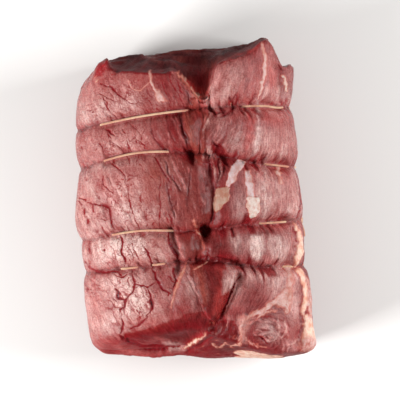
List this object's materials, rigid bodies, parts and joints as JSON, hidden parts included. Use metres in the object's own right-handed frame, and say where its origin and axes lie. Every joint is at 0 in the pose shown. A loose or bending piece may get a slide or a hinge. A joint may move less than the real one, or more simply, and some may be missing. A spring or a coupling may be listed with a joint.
{
  "type": "raw tied beef roasting joint",
  "caption": "Boneless raw beef joint, rolled and tied round with cotton string, with a V-shaped opening at its cut end and a central seam on top.",
  "frame": {"origin": "on the surface that the joint rests on, under the middle of its box", "axes": "+Z up, +Y along the roll towards the cut end with the V-shaped opening, +X across it, to the right when seen from above with +Y up"},
  "size_m": [0.1477, 0.1976, 0.0848],
  "materials": {
    "meat": "moist raw beef, dull red with pink and silvery grain, cream fat in places",
    "string": "natural cotton twine, tinted by meat juice"
  },
  "bodies": {
    "root": {"beef_joint": "meat", "string_1": "string", "string_2": "string", "string_3": "string", "string_4": "string"}
  },
  "joints": []
}
